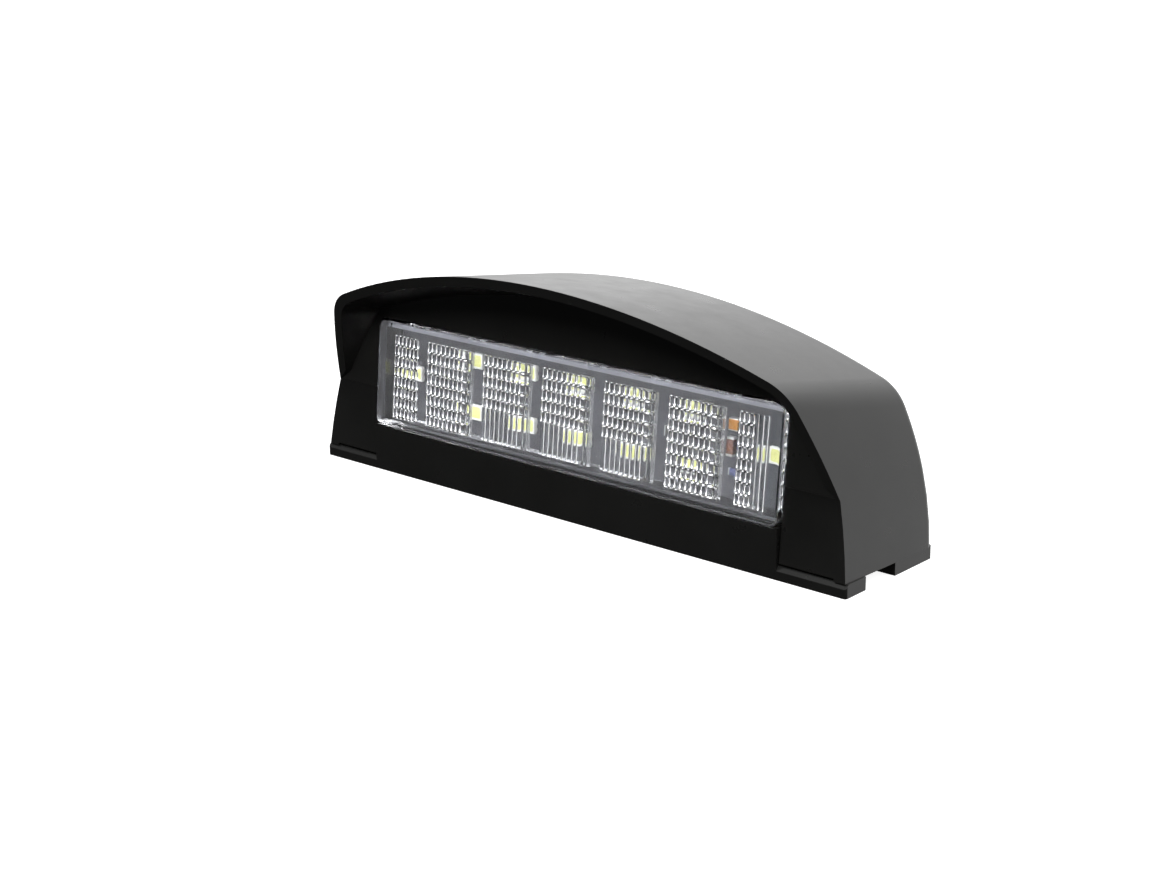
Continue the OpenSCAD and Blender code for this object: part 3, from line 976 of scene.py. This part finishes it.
class LAMP_OT_grommet(bpy.types.Operator):
    """Makes the rubber grommet of the cable hole"""

    bl_idname = "lamp.grommet"
    bl_label = "Grommet"

    def execute(self, context):
        c = context.scene.lamp_colours
        rubber = cloudy_finish(
            "black_rubber",
            c.rubber,
            tuple(1.6 * value for value in c.rubber),
            low=0.55,
            high=0.75,
            cloud=500,
            grain=2500,
            strength=0.3,
            depth=0.03 * MM,
        )[0]
        edge = context.scene.lamp_moulding.grommet_edge
        grommet = moulded_copy("cable_grommet", "inlet_grommet", edge, rubber)
        finish_piece(grommet, "grommet", "cable_grommet")
        return {"FINISHED"}


# Stage


def add_floor():
    """Pale floor that lights the lamp a little and isn't mirrored in it."""
    c = bpy.context.scene.lamp_colours
    st = bpy.context.scene.lamp_stage
    clear_selection()
    bpy.ops.mesh.primitive_plane_add(size=12, location=(0, 0, -0.02 * MM))
    floor = bpy.context.active_object
    floor.name = "floor"
    material, tree, shader = new_finish("pale_floor")
    tint = blend_colours(tree, noise(tree, 3), c.floor, darker(c.floor, 0.985))
    tree.links.new(tint, shader.inputs["Base Color"])
    shader.inputs["Roughness"].default_value = 0.9
    shader.inputs["Specular IOR Level"].default_value = 0
    shader.inputs["Emission Color"].default_value = (1, 1, 1, 1)
    path = tree.nodes.new("ShaderNodeLightPath")
    glow = tree.nodes.new("ShaderNodeMix")
    glow.data_type = "FLOAT"
    glow.inputs["A"].default_value = st.floor_glow
    glow.inputs["B"].default_value = st.floor_seen
    tree.links.new(path.outputs["Is Camera Ray"], glow.inputs["Factor"])
    tree.links.new(glow.outputs["Result"], shader.inputs["Emission Strength"])
    floor.data.materials.append(material)
    floor.visible_glossy = False
    floor.visible_diffuse = False


def add_area(name, place, target, width, height, power):
    """Soft light of a width and height in metres that looks at a target."""
    light = bpy.data.lights.new(name, "AREA")
    light.shape = "RECTANGLE"
    light.size = width
    light.size_y = height
    light.energy = power
    obj = bpy.data.objects.new(name, light)
    bpy.context.scene.collection.objects.link(obj)
    obj.location = place
    obj.rotation_euler = (Vector(target) - Vector(place)).to_track_quat("-Z", "Y").to_euler()


def lobe(tree, towards, start, end, low, high):
    """Soft change of brightness from low to high towards a direction."""
    coordinates = tree.nodes.new("ShaderNodeTexCoord")
    direction = tree.nodes.new("ShaderNodeVectorMath")
    direction.operation = "DOT_PRODUCT"
    direction.inputs[1].default_value = towards
    tree.links.new(coordinates.outputs["Generated"], direction.inputs[0])
    shade = tree.nodes.new("ShaderNodeMapRange")
    shade.interpolation_type = "SMOOTHSTEP"
    shade.inputs["From Min"].default_value = start
    shade.inputs["From Max"].default_value = end
    shade.inputs["To Min"].default_value = low
    shade.inputs["To Max"].default_value = high
    tree.links.new(direction.outputs["Value"], shade.inputs["Value"])
    return shade.outputs["Result"]


def add_surroundings():
    """Even soft light: bright behind the lamp, dim before it, plain to the camera.

    Rays that have passed the clear lens see a brighter, even studio with a soft panel in it.
    """
    st = bpy.context.scene.lamp_stage
    world = bpy.data.worlds.new("surroundings")
    bpy.context.scene.world = world
    world.use_nodes = True
    tree = world.node_tree
    sky = tree.nodes["Background"]
    shade = tree.nodes.new("ShaderNodeMath")
    shade.operation = "ADD"
    behind = lobe(tree, (0.3, 0.95, 1.2), start=0.12, end=0.65, low=st.dim, high=st.bright)
    rear = lobe(tree, (-0.65, 0.75, -0.1), start=0.9, end=0.99, low=0, high=st.rear)
    tree.links.new(behind, shade.inputs[0])
    tree.links.new(rear, shade.inputs[1])
    path = tree.nodes.new("ShaderNodeLightPath")
    seen = tree.nodes.new("ShaderNodeMix")
    seen.data_type = "FLOAT"
    seen.inputs["B"].default_value = 1
    tree.links.new(path.outputs["Is Camera Ray"], seen.inputs["Factor"])
    glass = tree.nodes.new("ShaderNodeMix")
    glass.data_type = "FLOAT"
    panel = lobe(tree, (0, -0.75, 0.66), start=0.73, end=0.93, low=st.glass, high=st.panel)
    tree.links.new(panel, glass.inputs["B"])
    tree.links.new(path.outputs["Is Transmission Ray"], glass.inputs["Factor"])
    tree.links.new(shade.outputs["Value"], glass.inputs["A"])
    tree.links.new(glass.outputs["Result"], seen.inputs["A"])
    tree.links.new(seen.outputs["Result"], sky.inputs["Strength"])
    sky.inputs["Color"].default_value = (1, 1, 1, 1)


def add_camera():
    """Camera that looks at its target from the photo's side."""
    st = bpy.context.scene.lamp_stage
    a, e = st.azimuth, st.elevation
    back = Vector((math.sin(a) * math.cos(e), -math.cos(a) * math.cos(e), math.sin(e)))
    right = Vector((math.cos(a), math.sin(a), 0))
    up = back.cross(right)
    right, up = (
        right * math.cos(st.roll) + up * math.sin(st.roll),
        up * math.cos(st.roll) - right * math.sin(st.roll),
    )
    camera = bpy.data.objects.new("camera", bpy.data.cameras.new("camera"))
    bpy.context.scene.collection.objects.link(camera)
    turn = Matrix((right, up, back)).transposed().to_4x4()
    camera.matrix_world = Matrix.Translation(Vector(st.target) + back * st.distance) @ turn
    camera.data.sensor_width = 36
    camera.data.lens = st.focal
    camera.data.clip_start = 0.01
    camera.data.clip_end = 50
    bpy.context.scene.camera = camera


class LAMP_OT_stage(bpy.types.Operator):
    """Makes the floor, the soft lights, the surroundings and the camera"""

    bl_idname = "lamp.stage"
    bl_label = "Stage"

    def execute(self, context):
        st = context.scene.lamp_stage
        add_floor()
        add_area(
            "key_light",
            place=(0.1, -0.45, 0.42),
            target=(0, 0, 0.02),
            width=0.3,
            height=0.2,
            power=st.key,
        )
        add_area(
            "back_light",
            place=(0.1, 0.7, 0.8),
            target=(0, 0.1, 0.02),
            width=1.2,
            height=0.6,
            power=st.back,
        )
        add_surroundings()
        add_camera()
        context.scene.view_settings.view_transform = "Standard"
        return {"FINISHED"}


OPERATORS = (
    LAMP_OT_hood,
    LAMP_OT_base,
    LAMP_OT_lens,
    LAMP_OT_board,
    LAMP_OT_diodes,
    LAMP_OT_parts,
    LAMP_OT_grommet,
    LAMP_OT_stage,
)
GROUPS = {
    "lamp_moulding": LampMoulding,
    "lamp_lens": LampLens,
    "lamp_unit": LampUnit,
    "lamp_colours": LampColours,
    "lamp_stage": LampStage,
}


class LAMP_PT_pieces(bpy.types.Panel):
    """Lists the pieces of the lamp and their sizes."""

    bl_idname = "LAMP_PT_pieces"
    bl_label = "Number plate lamp"
    bl_space_type = "VIEW_3D"
    bl_region_type = "UI"
    bl_category = "Lamp"

    def draw(self, context):
        for group in GROUPS:
            values = getattr(context.scene, group)
            box = self.layout.box()
            for name in values.bl_rna.properties.keys():
                if name not in ("rna_type", "name"):
                    box.prop(values, name)
        for operator in OPERATORS:
            self.layout.operator(operator.bl_idname)


def register():
    for group, cls in GROUPS.items():
        bpy.utils.register_class(cls)
        setattr(bpy.types.Scene, group, PointerProperty(type=cls))
    for cls in OPERATORS:
        bpy.utils.register_class(cls)
    bpy.utils.register_class(LAMP_PT_pieces)


def unregister():
    bpy.utils.unregister_class(LAMP_PT_pieces)
    for cls in reversed(OPERATORS):
        bpy.utils.unregister_class(cls)
    for group, cls in GROUPS.items():
        delattr(bpy.types.Scene, group)
        bpy.utils.unregister_class(cls)


def main():
    register()
    for operator in OPERATORS:
        family, name = operator.bl_idname.split(".")
        getattr(getattr(bpy.ops, family), name)()


if __name__ == "__main__":
    main()
